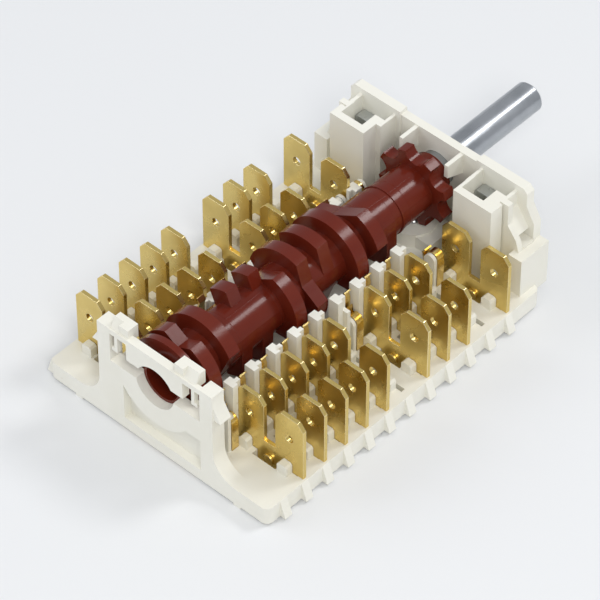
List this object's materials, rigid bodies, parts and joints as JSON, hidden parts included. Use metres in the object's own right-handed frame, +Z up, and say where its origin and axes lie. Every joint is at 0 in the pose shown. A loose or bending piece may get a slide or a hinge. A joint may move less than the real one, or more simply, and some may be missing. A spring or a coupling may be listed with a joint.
{
  "type": "oven selector switch",
  "caption": "Rotary cam switch for an oven: a moulded base with two rows of double blade tabs, a cam drum turned by a round steel shaft, contact springs and a sprung detent.",
  "frame": {"origin": "on the shaft axis, in the outer face of the front wall, midway between the two fixing holes", "axes": "+Y along the shaft to its free tip, +Z up from the base to the tabs' ends, +X to the right-hand terminal row"},
  "size_m": [0.0534, 0.0968, 0.0245],
  "materials": {
    "cream_plastic": "warm off-white moulding, slight sheen",
    "red_brown_plastic": "dark red-brown moulding, semi-gloss",
    "zinc_steel": "zinc-plated steel",
    "spring_steel": "bright spring wire",
    "rivet_metal": "silver-faced contact rivet",
    "tab_brass": "stamped brass, bright edges",
    "spring_brass": "rolled spring strip",
    "cover_sheet": "thin hard insulating sheet"
  },
  "bodies": {
    "housing": {"base_moulding": "cream_plastic", "captive_nuts": "zinc_steel", "contact_rivets": "rivet_metal", "bottom_cover": "cover_sheet", "detent_spring": "spring_steel", "terminal_left_1": "tab_brass", "terminal_left_2": "tab_brass", "terminal_left_3": "tab_brass", "terminal_left_4": "tab_brass", "terminal_left_5": "tab_brass", "terminal_left_6": "tab_brass", "terminal_left_7": "tab_brass", "terminal_left_8": "tab_brass", "terminal_left_9": "tab_brass", "terminal_right_1": "tab_brass", "terminal_right_2": "tab_brass", "terminal_right_3": "tab_brass", "terminal_right_4": "tab_brass", "terminal_right_5": "tab_brass", "terminal_right_6": "tab_brass", "terminal_right_7": "tab_brass", "terminal_right_8": "tab_brass", "terminal_right_9": "tab_brass", "contact_spring_left_1": "spring_brass", "contact_spring_left_2": "spring_brass", "contact_spring_left_3": "spring_brass", "contact_spring_left_4": "spring_brass", "contact_spring_left_5": "spring_brass", "contact_spring_left_6": "spring_brass", "contact_spring_left_7": "spring_brass", "contact_spring_left_8": "spring_brass", "contact_spring_left_9": "spring_brass", "contact_spring_right_1": "spring_brass", "contact_spring_right_2": "spring_brass", "contact_spring_right_3": "spring_brass", "contact_spring_right_4": "spring_brass", "contact_spring_right_5": "spring_brass", "contact_spring_right_6": "spring_brass", "contact_spring_right_7": "spring_brass", "contact_spring_right_8": "spring_brass", "contact_spring_right_9": "spring_brass"},
    "drum": {"cam_drum": "red_brown_plastic", "drive_shaft": "zinc_steel"},
    "pin": {"detent_pin": "zinc_steel"}
  },
  "joints": [
    {"name": "drum_turn", "type": "hinge", "parent": "housing", "child": "drum", "pos_m": [0, 0, 0], "axis": [0, 1, 0], "continuous": true, "deforming": ["contact_spring_left_1", "contact_spring_left_2", "contact_spring_left_3", "contact_spring_left_4", "contact_spring_left_5", "contact_spring_left_6", "contact_spring_left_7", "contact_spring_left_8", "contact_spring_left_9", "contact_spring_right_1", "contact_spring_right_2", "contact_spring_right_3", "contact_spring_right_4", "contact_spring_right_5", "contact_spring_right_6", "contact_spring_right_7", "contact_spring_right_8", "contact_spring_right_9"]},
    {"name": "pin_press", "type": "slide", "parent": "housing", "child": "pin", "axis": [0, 0, 1], "range_m": [-0.001, 0], "stiffness_N_per_m": 500, "springref_m": 0.002, "deforming": ["detent_spring"]}
  ]
}
